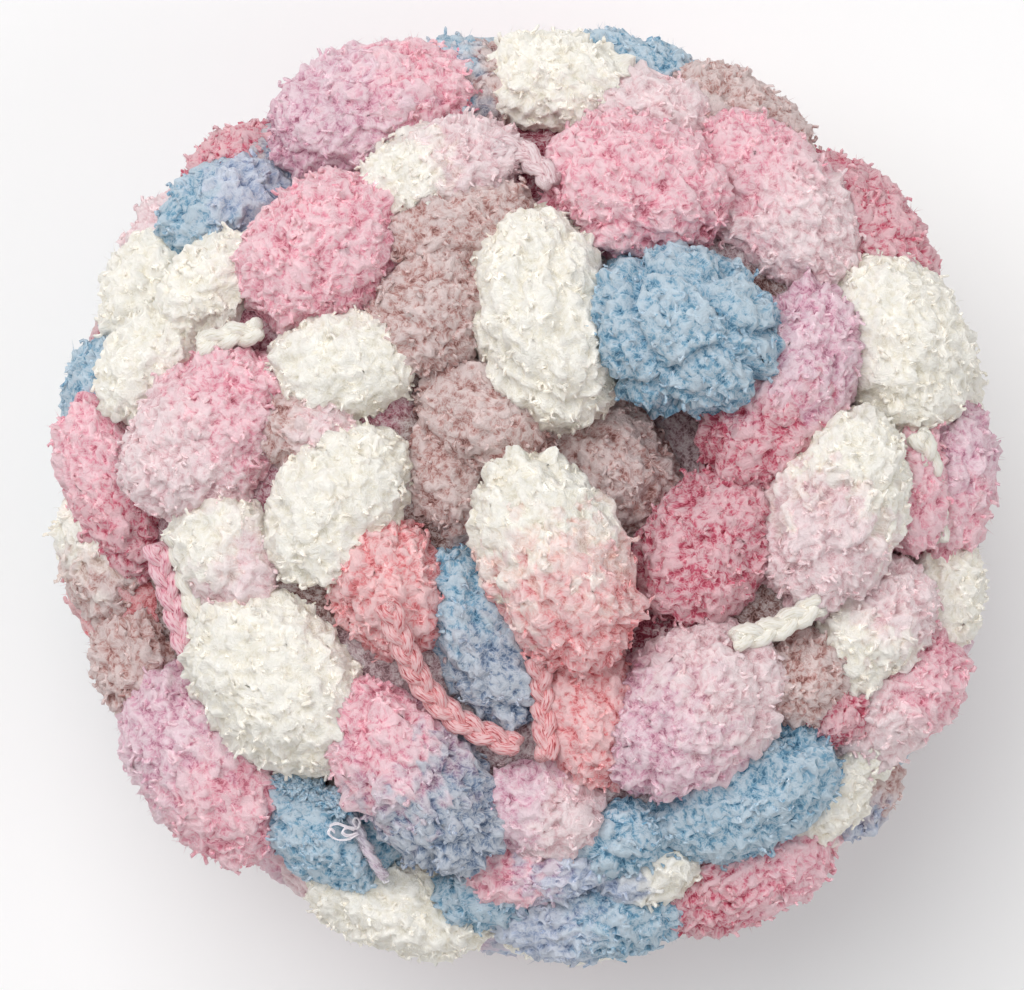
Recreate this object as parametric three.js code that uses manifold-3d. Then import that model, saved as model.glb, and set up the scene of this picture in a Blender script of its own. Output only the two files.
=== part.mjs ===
// A ball of pom pom yarn: soft oval pompoms joined by short lengths of plaited cord, wound round an
// upright axis into a squat ball that stands on its lower end. The hollow that the winding leaves is
// in the upper end, a little off the middle. Millimetres, +Z up, origin in the middle of the flat
// spot that the ball stands on.
import * as THREE from 'three';
import { mergeVertices } from 'three/addons/utils/BufferGeometryUtils.js';
import Module from 'manifold-3d';

const wasm = await Module();
wasm.setup();

// The ball's envelope, from pompom tip to pompom tip
const BALL_RADIUS = 94;
const BALL_HEIGHT = 124;
const SQUARENESS = 2.6;

// The hollow in the upper end
const HOLLOW = { x: 13, y: 8, radius: 30, depth: 27 };

// The pompoms and the cord between them
const PILE_DEPTH = 9;
const FULLNESS = 0.8;
const LUMP = 0.05;
const LUMPS_AROUND = 2;
const LUMPS_ALONG = 3;
const SIDE_SEED_STEP = 10;
const UNDER_SEED_STEP = 7;
const SMALL_WIDTH = 21;
const CORD_DIAMETER = 5;
const END_DIAMETER = 2.4;

// How many facets each form has, round it and from end to end
const FACE_GRID = { sides: 8, rings: 5 };
const SMALL_GRID = { sides: 6, rings: 5 };
const SIDE_GRID = { sides: 6, rings: 5 };
const UNDER_GRID = { sides: 6, rings: 4 };
const CORE_GRID = { sides: 18, rings: 12 };
const CORD_SIDES = 6;
const CORD_STEPS_A_POINT = 2;
const END_SIDES = 8;
const END_STEPS = 20;

// Points nearer than this are one point of a closed mesh
const MERGE_WITHIN = 1e-4;

const PILE_COLOUR = 0xe3bcc4;
const END_COLOUR = 0xcdc2d6;
const PILE_ROUGHNESS = 0.95;

// The upper end's pompoms, a table for each turn of the winding. x and y are a pompom's middle seen
// from above, sink is how far its top lies under the envelope, and turn is the way its yarn runs, in
// degrees from +X.
const RIM_TURN = [
  // x, y, sink, length, width, turn
  [-30, 77, 0, 42, 27, 15],
  [-11, 82, 6, 27, 20, -8],
  [7, 82, 2, 31, 21, -15],
  [20, 83, 7, 31, 20, -14],
  [41, 73, 5, 36, 24, -35],
  [66, 52, 3, 38, 24, -52],
  [82, 27, 8, 27, 17, -70],
  [84, 4, 5, 31, 19, 82],
  [82, -20, 8, 25, 18, 72],
  [72, -39, 2, 32, 22, 38],
  [66, -59, 8, 20, 15, 46],
  [42, -74, 2, 37, 22, 22],
  [12, -81, 4, 38, 21, 4],
  [-25, -80, 5, 38, 20, -14],
  [-63, -52, 0, 42, 29, -55],
  [-77, -33, 7, 24, 19, -65],
  [-84, -12, 7, 28, 18, -72],
  [-82, 2, 5, 38, 19, -68],
  [-84, 20, 7, 27, 18, 78],
  [-75, 42, 6, 26, 19, 62],
  [-72, 52, 7, 22, 16, 55],
  [-58, 66, 7, 24, 16, 42],
];
const OUTER_TURN = [
  // x, y, sink, length, width, turn
  [-17, 64, 3, 33, 20, 20],
  [23, 76, 5, 30, 18, -8],
  [21, 61, 0, 37, 28, -10],
  [49, 58, 2, 42, 27, -48],
  [72, 31, 0, 37, 29, -62],
  [76, 2, 6, 25, 14, 86],
  [67, -25, 4, 30, 23, 48],
  [67, -48, 6, 19, 15, 42],
  [58, -59, 6, 22, 17, 46],
  [23, -73, 6, 22, 15, 12],
  [1, -72, 5, 28, 15, 0],
  [-9, -78, 6, 18, 13, -6],
  [-39, -65, 6, 28, 22, -38],
  [-48, -35, 0, 41, 31, -45],
  [-58, -10, 4, 27, 21, -62],
  [-62, 13, 0, 39, 28, 48],
  [-74, 26, 4, 25, 20, 55],
  [-62, 42, 5, 24, 18, 48],
  [-60, 57, 5, 27, 21, 28],
  [-40, 48, 0, 34, 28, 40],
];
const MIDDLE_TURN = [
  // x, y, sink, length, width, turn
  [-14, 53, 6, 31, 17, 15],
  [-19, 37, 6, 27, 23, 45],
  [3, 36, 3, 44, 28, -75],
  [30, 33, -3, 38, 31, -18],
  [50, 21, 5, 44, 25, 62],
  [60, -2, 0, 41, 27, 75],
  [53, -35, 6, 20, 17, 40],
  [61, -42, 6, 14, 12, 30],
  [43, -57, 2, 38, 24, 25],
  [32, -41, 0, 39, 30, 40],
  [18, -66, 6, 20, 16, 15],
  [2, -60, 5, 26, 21, -20],
  [-23, -53, 0, 44, 25, -50],
  [-27, -17, 4, 28, 22, -60],
  [-37, -1, 3, 34, 25, 62],
  [-43, 14, 6, 20, 17, 0],
  [-36, 26, 4, 28, 21, 8],
];
const INNER_TURN = [
  // x, y, sink, length, width, turn
  [-9, 16, 11, 28, 20, -38],
  [15, 7, 22, 34, 27, -48],
  [35, -10, 9, 33, 25, 55],
  [5, -12, -3, 42, 30, -66],
  [12, -41, 7, 30, 20, -82],
  [-9, -27, 8, 38, 22, -60],
  [-17, 4, 15, 27, 19, -60],
];

// The turns round the side and under the ball. height is the row's middle, slope is how far its yarn
// climbs, in degrees, and start is where the first pompom of the row lies.
const SIDE_ROWS = [
  { height: 74, count: 12, slope: 9, start: 9, length: 42, width: 28 },
  { height: 50, count: 12, slope: -11, start: 24, length: 44, width: 30 },
  { height: 26, count: 11, slope: 10, start: 2, length: 44, width: 30 },
];
const UNDER_RINGS = [
  { radius: 58, count: 8, start: 15, length: 44, width: 30 },
  { radius: 29, count: 4, start: 0, length: 42, width: 31 },
  { radius: 0, count: 1, start: 40, length: 34, width: 30 },
];
const FLAT_SPOT_CUT = 3;
const SLAB_SIDE = 4 * BALL_RADIUS;

// The lengths of cord that show between pompoms, as points x, y and sink
const CORD_RUNS = [
  [[-27, -20, 0], [-24, -28, 3], [-20, -36, 7], [-13, -43, 9], [-2, -48, 8]],
  [[40, -27, 6], [48, -25, 7], [57, -20, 6]],
  [[-73, -9, 6], [-70, -19, 8], [-66, -32, 6]],
  [[-7, 69, 5], [-1, 68, 7], [5, 62, 6]],
  [[77, 13, 4], [80, 4, 7], [81, -8, 8]],
  [[-69, -6, 8], [-66, -17, 9], [-63, -28, 6]],
  [[-64, 30, 5], [-58, 32, 6], [-52, 33, 7]],
  [[2, -31, 9], [3, -40, 11], [4, -50, 8]],
];

// The loose end, from the pit where it comes out of the winding, along the crease between two pompoms
// and out of it to its tip
const LOOSE_END = [
  // x, y, z
  [-49.4, -54.6, 97.2],
  [-47.9, -55.2, 97.2],
  [-46.4, -55.8, 97.7],
  [-44.8, -56.3, 98.1],
  [-43.2, -56.7, 98.5],
  [-41.6, -57.1, 99],
  [-40.1, -57.7, 99.5],
  [-38.7, -58.5, 99.8],
  [-37.4, -59.4, 99.9],
  [-36.2, -60.4, 100],
  [-35.1, -61.5, 100.1],
  [-34.2, -62.7, 100.2],
  [-33.5, -64, 100.4],
  [-32.9, -65.4, 100.5],
  [-32.3, -66.8, 100.3],
  [-31.7, -68.1, 100],
  [-31.1, -69.4, 99.6],
  [-30.4, -70.7, 99.2],
  [-29.7, -71.9, 98.6],
  [-29, -73.1, 97.7],
  [-28.2, -74.3, 96.6],
];

function envelopeHeight(r) {
  const out = Math.min(r / BALL_RADIUS, 1);
  const half = BALL_HEIGHT / 2;
  return half + half * (1 - out ** SQUARENESS) ** (1 / SQUARENESS);
}

function envelopeRadius(z) {
  const up = Math.min(Math.abs(z / (BALL_HEIGHT / 2) - 1), 1);
  return BALL_RADIUS * (1 - up ** SQUARENESS) ** (1 / SQUARENESS);
}

// A closed mesh of three.js as a solid
function solid(geometry) {
  geometry.deleteAttribute('normal');
  geometry.deleteAttribute('uv');
  const merged = mergeVertices(geometry, MERGE_WITHIN);
  return new wasm.Manifold(new wasm.Mesh({
    numProp: 3,
    vertProperties: new Float32Array(merged.attributes.position.array),
    triVerts: new Uint32Array(merged.index.array),
  }));
}

// A solid as a mesh of three.js
function geometryOf(body) {
  const mesh = body.getMesh();
  const geometry = new THREE.BufferGeometry();
  geometry.setAttribute('position', new THREE.BufferAttribute(mesh.vertProperties, 3));
  geometry.setIndex(new THREE.BufferAttribute(mesh.triVerts, 1));
  geometry.computeVertexNormals();
  return geometry;
}

// One pompom: a plump oval along the yarn, its pile a little uneven, no two alike
function pompom({ middle, along, length, width, grid, seed }) {
  const geometry = new THREE.SphereGeometry(1, grid.sides, grid.rings);
  const position = geometry.attributes.position;
  const turned = new THREE.Quaternion().setFromUnitVectors(new THREE.Vector3(0, 1, 0), along);
  for (let i = 0; i < position.count; i += 1) {
    const point = new THREE.Vector3().fromBufferAttribute(position, i);
    const round = Math.hypot(point.x, point.z);
    const plump = round > 0 ? round ** (FULLNESS - 1) : 1;
    const around = Math.atan2(point.z, point.x);
    const lump = Math.sin(LUMPS_AROUND * around + seed) * Math.sin(LUMPS_ALONG * point.y + 2 * seed);
    const uneven = 1 + LUMP * lump * round;
    point.x *= plump * uneven * width / 2;
    point.z *= plump * uneven * width / 2;
    point.y *= length / 2;
    point.applyQuaternion(turned).add(middle);
    position.setXYZ(i, point.x, point.y, point.z);
  }
  return solid(geometry);
}

function facePompoms() {
  const rows = [...RIM_TURN, ...OUTER_TURN, ...MIDDLE_TURN, ...INNER_TURN];
  return rows.map(([x, y, sink, length, width, turn], seed) => {
    const way = THREE.MathUtils.degToRad(turn);
    const top = envelopeHeight(Math.hypot(x, y)) - sink;
    return pompom({
      middle: new THREE.Vector3(x, y, top - width / 2),
      along: new THREE.Vector3(Math.cos(way), Math.sin(way), 0),
      length,
      width,
      grid: width < SMALL_WIDTH ? SMALL_GRID : FACE_GRID,
      seed,
    });
  });
}

function sidePompoms() {
  return SIDE_ROWS.flatMap((row, turn) => Array.from({ length: row.count }, (_, i) => {
    const angle = THREE.MathUtils.degToRad(row.start + 360 * i / row.count);
    const slope = THREE.MathUtils.degToRad(row.slope);
    const radius = envelopeRadius(row.height) - row.width / 2;
    return pompom({
      middle: new THREE.Vector3(radius * Math.cos(angle), radius * Math.sin(angle), row.height),
      along: new THREE.Vector3(
        -Math.sin(angle) * Math.cos(slope),
        Math.cos(angle) * Math.cos(slope),
        Math.sin(slope),
      ),
      length: row.length,
      width: row.width,
      grid: SIDE_GRID,
      seed: SIDE_SEED_STEP * turn + i,
    });
  }));
}

function underPompoms() {
  return UNDER_RINGS.flatMap((ring, turn) => Array.from({ length: ring.count }, (_, i) => {
    const angle = THREE.MathUtils.degToRad(ring.start + 360 * i / ring.count);
    return pompom({
      middle: new THREE.Vector3(
        ring.radius * Math.cos(angle),
        ring.radius * Math.sin(angle),
        ring.width / 2 - FLAT_SPOT_CUT,
      ),
      along: new THREE.Vector3(-Math.sin(angle), Math.cos(angle), 0),
      length: ring.length,
      width: ring.width,
      grid: UNDER_GRID,
      seed: UNDER_SEED_STEP * turn + i,
    });
  }));
}

// The turns inside, which show only in the gaps: the envelope less the pile, sunk under the hollow
function core() {
  const geometry = new THREE.SphereGeometry(1, CORE_GRID.sides, CORE_GRID.rings);
  geometry.rotateX(Math.PI / 2);
  const position = geometry.attributes.position;
  for (let i = 0; i < position.count; i += 1) {
    const point = new THREE.Vector3().fromBufferAttribute(position, i);
    const round = Math.hypot(point.x, point.y) ** SQUARENESS + Math.abs(point.z) ** SQUARENESS;
    point.multiplyScalar(round ** (-1 / SQUARENESS));
    const x = point.x * (BALL_RADIUS - PILE_DEPTH);
    const y = point.y * (BALL_RADIUS - PILE_DEPTH);
    const away = Math.hypot(x - HOLLOW.x, y - HOLLOW.y) / HOLLOW.radius;
    const hollow = point.z > 0 ? HOLLOW.depth * Math.exp(-(away ** 2)) : 0;
    const z = BALL_HEIGHT / 2 + point.z * (BALL_HEIGHT / 2 - PILE_DEPTH) - hollow;
    position.setXYZ(i, x, y, z);
  }
  return solid(geometry);
}

function ringSection(diameter, sides) {
  const points = Array.from({ length: sides }, (_, i) => {
    const angle = 2 * Math.PI * i / sides;
    return new THREE.Vector2(Math.cos(angle), Math.sin(angle)).multiplyScalar(diameter / 2);
  });
  return new THREE.Shape(points);
}

function tube(points, diameter, sides, steps) {
  return new THREE.ExtrudeGeometry(ringSection(diameter, sides), {
    steps,
    bevelEnabled: false,
    extrudePath: new THREE.CatmullRomCurve3(points),
  });
}

function cordRuns() {
  return CORD_RUNS.map((run) => {
    const points = run.map(([x, y, sink]) => (
      new THREE.Vector3(x, y, envelopeHeight(Math.hypot(x, y)) - sink)
    ));
    const steps = CORD_STEPS_A_POINT * points.length;
    return solid(tube(points, CORD_DIAMETER, CORD_SIDES, steps));
  });
}

// Everything lower than the flat spot
function belowTheSurface() {
  const slab = new THREE.BoxGeometry(SLAB_SIDE, SLAB_SIDE, BALL_HEIGHT);
  slab.translate(0, 0, -BALL_HEIGHT / 2);
  return solid(slab);
}

function woundBall() {
  const pieces = [core(), ...facePompoms(), ...sidePompoms(), ...underPompoms(), ...cordRuns()];
  const whole = pieces.reduce((joined, piece) => joined.add(piece));
  const shells = whole.subtract(belowTheSurface()).decompose();
  const outer = shells.reduce((best, shell) => (shell.volume() > best.volume() ? shell : best));
  return geometryOf(outer);
}

function pileMaterial(color) {
  return new THREE.MeshStandardMaterial({ color, roughness: PILE_ROUGHNESS, metalness: 0 });
}

const ball = new THREE.Mesh(woundBall(), pileMaterial(PILE_COLOUR));
ball.name = 'wound_ball';

const endPoints = LOOSE_END.map(([x, y, z]) => new THREE.Vector3(x, y, z));
const endTube = tube(endPoints, END_DIAMETER, END_SIDES, END_STEPS);
const looseEnd = new THREE.Mesh(endTube, pileMaterial(END_COLOUR));
looseEnd.name = 'loose_end';

const yarnBall = new THREE.Group();
yarnBall.add(ball, looseEnd);

export default yarnBall;
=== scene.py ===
import math

import bpy
import numpy as np
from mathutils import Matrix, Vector


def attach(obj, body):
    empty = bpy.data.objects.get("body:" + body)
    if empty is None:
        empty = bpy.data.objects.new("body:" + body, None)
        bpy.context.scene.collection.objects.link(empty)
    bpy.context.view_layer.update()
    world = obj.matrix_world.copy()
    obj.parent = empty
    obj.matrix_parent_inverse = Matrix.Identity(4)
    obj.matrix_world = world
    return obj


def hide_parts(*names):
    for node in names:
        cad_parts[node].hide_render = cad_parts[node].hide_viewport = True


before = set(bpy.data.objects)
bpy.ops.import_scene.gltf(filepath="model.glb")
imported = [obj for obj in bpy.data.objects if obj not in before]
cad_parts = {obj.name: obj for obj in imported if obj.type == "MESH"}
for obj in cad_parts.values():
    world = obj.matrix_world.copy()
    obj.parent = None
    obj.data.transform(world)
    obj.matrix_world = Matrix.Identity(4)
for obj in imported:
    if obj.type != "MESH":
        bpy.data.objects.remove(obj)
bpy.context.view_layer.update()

MM = 0.001

# The ball's envelope, from pompom tip to pompom tip, in millimetres, +Z up, as the frame has it
BALL_RADIUS = 94
BALL_HEIGHT = 124
SQUARENESS = 2.6
HOLLOW_X, HOLLOW_Y, HOLLOW_RADIUS, HOLLOW_DEPTH = 13, 8, 30, 27
FULLNESS = 0.8
END_DIAMETER = 2.4
FLAT_SPOT_CUT = 3

# The upper end's pompoms, a table for each turn of the winding, in rows of x, y, sink, length, width,
# turn, first dye and last dye. x and y are a pompom's middle seen from above, sink is how far its top
# lies under the envelope, turn is the way its yarn runs, in degrees from +X, and the dyes are those
# at its first and last end.
RIM_TURN = [
    (-30, 77, 0, 42, 27, 15, "orchid", "pink"),
    (-11, 82, 6, 27, 20, -8, "blue", "mauve"),
    (7, 82, 2, 31, 21, -15, "cream", "cream"),
    (20, 83, 7, 31, 20, -14, "blue", "blue"),
    (41, 73, 5, 36, 24, -35, "mauve", "mauve"),
    (66, 52, 3, 38, 24, -52, "rose", "rose"),
    (82, 27, 8, 27, 17, -70, "cream", "cream"),
    (84, 4, 5, 31, 19, 82, "pink", "orchid"),
    (82, -20, 8, 25, 18, 72, "cream", "cream"),
    (72, -39, 2, 32, 22, 38, "blush", "pink"),
    (66, -59, 8, 20, 15, 46, "lilac", "mauve"),
    (42, -74, 2, 37, 22, 22, "rose", "pink"),
    (12, -81, 4, 38, 21, 4, "lilac", "blue"),
    (-25, -80, 5, 38, 20, -14, "cream", "cream"),
    (-63, -52, 0, 42, 29, -55, "orchid", "pink"),
    (-77, -33, 7, 24, 19, -65, "mauve", "mauve"),
    (-84, -12, 7, 28, 18, -72, "cream", "mauve"),
    (-82, 2, 5, 38, 19, -68, "pink", "rose"),
    (-84, 20, 7, 27, 18, 78, "blue", "blue"),
    (-75, 42, 6, 26, 19, 62, "cream", "cream"),
    (-72, 52, 7, 22, 16, 55, "blush", "blush"),
    (-58, 66, 7, 24, 16, 42, "rose", "rose"),
]
OUTER_TURN = [
    (-17, 64, 3, 33, 20, 20, "cream", "blush"),
    (23, 76, 5, 30, 18, -8, "blush", "blush"),
    (21, 61, 0, 37, 28, -10, "pink", "pink"),
    (49, 58, 2, 42, 27, -48, "pink", "blush"),
    (72, 31, 0, 37, 29, -62, "cream", "cream"),
    (76, 2, 6, 25, 14, 86, "pink", "pink"),
    (67, -25, 4, 30, 23, 48, "cream", "blush"),
    (67, -48, 6, 19, 15, 42, "cream", "cream"),
    (58, -59, 6, 22, 17, 46, "cream", "cream"),
    (23, -73, 6, 22, 15, 12, "lilac", "cream"),
    (1, -72, 5, 28, 15, 0, "pink", "lilac"),
    (-9, -78, 6, 18, 13, -6, "blue", "blue"),
    (-39, -65, 6, 28, 22, -38, "blue", "blue"),
    (-48, -35, 0, 41, 31, -45, "cream", "cream"),
    (-58, -10, 4, 27, 21, -62, "cream", "blush"),
    (-62, 13, 0, 39, 28, 48, "blush", "pink"),
    (-74, 26, 4, 25, 20, 55, "cream", "cream"),
    (-62, 42, 5, 24, 18, 48, "cream", "cream"),
    (-60, 57, 5, 27, 21, 28, "blue", "lilac"),
    (-40, 48, 0, 34, 28, 40, "pink", "pink"),
]
MIDDLE_TURN = [
    (-14, 53, 6, 31, 17, 15, "mauve", "mauve"),
    (-19, 37, 6, 27, 23, 45, "mauve", "mauve"),
    (3, 36, 3, 44, 28, -75, "cream", "cream"),
    (30, 33, -3, 38, 31, -18, "blue", "blue"),
    (50, 21, 5, 44, 25, 62, "rose", "orchid"),
    (60, -2, 0, 41, 27, 75, "blush", "cream"),
    (53, -35, 6, 20, 17, 40, "mauve", "mauve"),
    (61, -42, 6, 14, 12, 30, "rose", "rose"),
    (43, -57, 2, 38, 24, 25, "blue", "blue"),
    (32, -41, 0, 39, 30, 40, "orchid", "blush"),
    (18, -66, 6, 20, 16, 15, "blue", "blue"),
    (2, -60, 5, 26, 21, -20, "orchid", "blush"),
    (-23, -53, 0, 44, 25, -50, "pink", "slate"),
    (-27, -17, 4, 28, 22, -60, "coral", "coral"),
    (-37, -1, 3, 34, 25, 62, "cream", "cream"),
    (-43, 14, 6, 20, 17, 0, "mauve", "blush"),
    (-36, 26, 4, 28, 21, 8, "cream", "cream"),
]
INNER_TURN = [
    (-9, 16, 11, 28, 20, -38, "mauve", "mauve"),
    (15, 7, 22, 34, 27, -48, "mauve", "mauve"),
    (35, -10, 9, 33, 25, 55, "rose", "rose"),
    (5, -12, -3, 43, 27, -66, "cream", "coral"),
    (12, -41, 7, 30, 20, -82, "coral", "coral"),
    (-9, -27, 8, 38, 22, -60, "blue", "slate"),
    (-17, 4, 15, 27, 19, -60, "mauve", "mauve"),
]

# The turns round the side and under the ball, as the frame has them
SIDE_ROWS = [
    dict(height=74, count=12, slope=9, start=9, length=42, width=28),
    dict(height=50, count=12, slope=-11, start=24, length=44, width=30),
    dict(height=26, count=11, slope=10, start=2, length=44, width=30),
]
UNDER_RINGS = [
    dict(radius=58, count=8, start=15, length=44, width=30),
    dict(radius=29, count=4, start=0, length=42, width=31),
    dict(radius=0, count=1, start=40, length=34, width=30),
]
# How far the pompoms under the ball face outwards, for each millimetre from its middle
UNDER_TILT = 0.012
# The order in which the dyes follow one another along the yarn, out of the photo's view, and how
# far on it each side row and each ring under the ball begins
DYE_ORDER = [
    "pink", "orchid", "lilac", "blue", "slate", "mauve", "rose", "coral", "blush", "cream", "cream",
]
SIDE_ROW_DYES = 4
UNDER_RING_DYES = 3

# The lengths of cord that show between pompoms, as points x, y and sink, with their dye
CORD_RUNS = [
    ("coral", [(-27, -20, 0), (-24, -28, 3), (-20, -36, 7), (-13, -43, 9), (-2, -48, 8)]),
    ("cream", [(40, -27, 6), (48, -25, 7), (57, -20, 6)]),
    ("pink", [(-73, -9, 6), (-70, -19, 8), (-66, -32, 6)]),
    ("blush", [(-7, 69, 5), (-1, 68, 7), (5, 62, 6)]),
    ("cream", [(77, 13, 4), (80, 4, 7), (81, -8, 8)]),
    ("cream", [(-69, -6, 8), (-66, -17, 9), (-63, -28, 6)]),
    ("cream", [(-64, 30, 5), (-58, 32, 6), (-52, 33, 7)]),
    ("coral", [(2, -31, 9), (3, -40, 11), (4, -50, 8)]),
]

# The loose end, from the pit where it comes out of the winding, along the crease between two pompoms
# and out of it to its tip, as x, y, z
LOOSE_END = [
    (-49.4, -54.6, 97.2), (-47.9, -55.2, 97.2), (-46.4, -55.8, 97.7),
    (-44.8, -56.3, 98.1), (-43.2, -56.7, 98.5), (-41.6, -57.1, 99),
    (-40.1, -57.7, 99.5), (-38.7, -58.5, 99.8), (-37.4, -59.4, 99.9),
    (-36.2, -60.4, 100), (-35.1, -61.5, 100.1), (-34.2, -62.7, 100.2),
    (-33.5, -64, 100.4), (-32.9, -65.4, 100.5), (-32.3, -66.8, 100.3),
    (-31.7, -68.1, 100), (-31.1, -69.4, 99.6), (-30.4, -70.7, 99.2),
    (-29.7, -71.9, 98.6), (-29, -73.1, 97.7), (-28.2, -74.3, 96.6),
]

# The fibres that have frayed out of the loose end in loops, as x, y, z
FRAYED_LOOPS = [
    [
        (-33.2, -65.6, 101.4), (-35.2, -66.6, 102.2), (-37.4, -66.6, 102.6),
        (-39, -65.4, 102.5), (-38.6, -64.4, 102.3),
    ],
    [
        (-33.4, -64.8, 101.4), (-35.4, -64.4, 102.2), (-37.4, -63.7, 102.5),
        (-38.8, -64.3, 102.4), (-37.8, -65.4, 102.7),
    ],
    [
        (-33.8, -65.2, 101.6), (-35.6, -65.6, 102.4), (-36.6, -64.8, 102.8),
        (-35.6, -64, 102.6), (-34.2, -64.4, 102.2),
    ],
    [
        (-33.4, -64, 101.4), (-34, -62.8, 102.2), (-33.4, -62, 102.6),
        (-32.7, -62.8, 102.2), (-33, -64.2, 101.6),
    ],
    [(-28.6, -73.8, 97.4), (-28.4, -74.8, 97.2), (-27.8, -75.6, 96.6), (-27.4, -75, 96.4)],
]
# How many of the loose end's first points lie under the pile beside them
HIDDEN_POINTS = 11
LOOSE_STEP = 0.4
PLIES = 2
PLY_PITCH = 7
PLY_SWING = 0.45
PLY_RADIUS = 0.75
PLY_SIDES = 8
LOOP_STRANDS = 2
LOOP_RADIUS = 0.18
LOOP_SIDES = 5
NAP_FIBRES = 700
NAP_FROM = 0.8
NAP_LEAN = 0.5
NAP_WIDTH = 0.22
NAP_LENGTHS = (0.5, 1.3)

# The pile is crumb: soft lumps, each with a crease round it, on lobes with clefts between them, and
# over them fine curls, pointed locks and loose fibre ends. Lengths are in millimetres.
PILE_PROUD = 0.7
# How far a pattern on the pile runs on along its fibres, as a share of their length
ALONG_FIBRE = 0.2
# On the side of a pompom towards the ball's heart, past this height on the unit sphere, nothing shows
HEART_SIDE = -0.35
HIDDEN_WITHIN = 0.86
LOCK_LENGTH = 5

# The lumps: how far they rise and lean, how round they are on top, and how their outline wanders
TUFT_RISE = 1.3
TUFT_RISE_SPREAD = 0.45
TUFT_RISE_LEAST = 0.4
TUFT_ROUNDING = 0.45
TUFT_SCATTER = 0.5
TUFT_LEAN = 0.5
# Painted highlight at a lump's top, higher on taller lumps, falling to painted shade in its crease
TUFT_TIP = 0.75
TUFT_TIP_SPREAD = 0.18
CLUMP_PITCH = 0.8
LEAN_PITCH = 0.5
CREASE_WIDTH = 0.55
WANDER = 0.6
WANDER_PITCH = 1.9

# The lobes and clefts, on the unit sphere
LOBES = 18
LOBE_SCATTER = 0.12
LOBE_RISE = 0.10
LOBE_LEVEL = 0.3
LOBE_WANDER = 0.12
CLEFT_DEPTHS = (0.02, 0.08)
CLEFT_WIDTH = 0.13
# Painted shade in the clefts, as a share taken off the level
PAINTED_CLEFT_SHADE = 0.45
DEEPEST_CLEFT = 0.16
DEEPEST_CLEFT_AT = (30, 33)

# The pointed locks, on the unit sphere. The front pompom's stand round its upper end, at these turns
# in degrees from +X.
LOCKS = 9
LOCK_RISES = (0.05, 0.13)
LOCK_SPREAD = 0.2
LOCK_POINT = 1.3
LOCK_WANDER = 0.03
# Painted highlight on the locks, as a rise of the level
PAINTED_LOCK_HIGHLIGHT = 6
LOCK_WAYS = (1, 1, 0.4)
LOCK_WAYS_UP = (0, 0, 0.2)
FRONT_POMPOM_AT = (5, -12)
FRONT_LOCK_TURNS = [152, 137, 122, 108, 92, 72, 50, 28, -10, -28]
FRONT_LOCK_UP = 0.15
FRONT_LOCK_RISE = 0.19
FRONT_LOCK_SHARES = (0.6, 1.2)

# The curls and loose fibre ends
CURL_SIZE = 2.6
SINGLE_SIZES = (0.7, 1.25)
SINGLE_LEAN = 0.6
SINGLE_MARGIN = 0.1
SINGLE_BLEACH = 1.03
FUZZ_WIDTH = 0.13
FUZZ_LENGTH = 2.0

# The curls that cover the loose end's hidden stretch, and how its open stretch presses on the pile
COVER_ASIDE = 1.8
COVER_UP = 0.7
COVER_CURLS = 420
COVER_SIZES = (0.7, 1.3)
COVER_LEVELS = (0.4, 0.9)
PRESSED_BY = 1.6
PRESSED_WITHIN = 3 * END_DIAMETER
PRESSED_BARE = 0.3

# How far up the pile a point counts as lying, which sets its painted shade: at a curl's root, and down a
# pompom's flank, which gives way to the crown over this reach
PAINTED_ROOT_SHADE_LEVEL = 0.35
PAINTED_FLANK_SHADE_LEVEL = 0.2
CROWN_REACH = 1.05

# How fine the pile is: the mesh's edge, the lumps' spacing, and the area for each curl and each
# loose fibre
FACE_PILE = dict(edge=0.85, spacing=2.1, curl_area=9, fuzz_area=6)
SIDE_PILE = dict(edge=1.2, spacing=2.8, curl_area=25, fuzz_area=12)
UNDER_PILE = dict(edge=1.9, spacing=3.8, curl_area=40, fuzz_area=40)

# The turns inside the ball, whose pile shows deep between the pompoms
CORE_DEPTH = 12
CORE_SUBDIVISIONS = 5
CORE_CUTS = 1
# Painted shade deep between the pompoms: the inner turns' dyes darkened and their level lowered
PAINTED_CORE_SHADE = 0.55
PAINTED_CORE_SHADE_LEVEL = 0.35
CORE_SEEDS = 8000
CORE_SCATTER = 0.006
CORE_DYES = ["mauve", "rose", "blush", "mauve", "pink", "cream"]
CORE_DYE_PITCH = 0.05
CORE_DYE_REACH = 1.3
CORE_PILE = dict(edge=3, spacing=3, curl_area=20, fuzz_area=40)

# The plait that joins the pompoms
PLAIT_STRAND = 2.5
PLAIT_SWING = 1.35
PLAIT_LIFT = 0.85
PLAIT_PITCH = 14.4
PLAIT_PINCH = 0.12
PLAIT_STEP = 0.5
PLAIT_SIDES = 10
STRAND_NAP = 0.07
STRAND_CAP = 0.4
STRAND_LEVEL = 0.8

# How a dye runs up the pile: darkened with painted shade at the roots, by a gamma and a shade that are
# given for strong dyes and for pale ones, pure at one level, and paled towards white by a painted highlight
# at the tips
STRONG_GREY, PALE_GREY = 0.4, 0.7
PAINTED_SHADE_GAMMAS = (1.7, 1.4)
PAINTED_SHADE_DARKENINGS = (0.32, 0.08)
PURE_LEVEL = 0.35
# Painted highlight: the tips paled towards white by this share
PAINTED_TIP_HIGHLIGHT = 0.4
# How a pompom's first dye gives way to its last, as shares of its length, and how uneven it is
CHANGE_FROM = 0.3
CHANGE_OVER = 0.4
CHANGE_BLUR = 0.07
DYE_UNEVEN = 0.04

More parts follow.
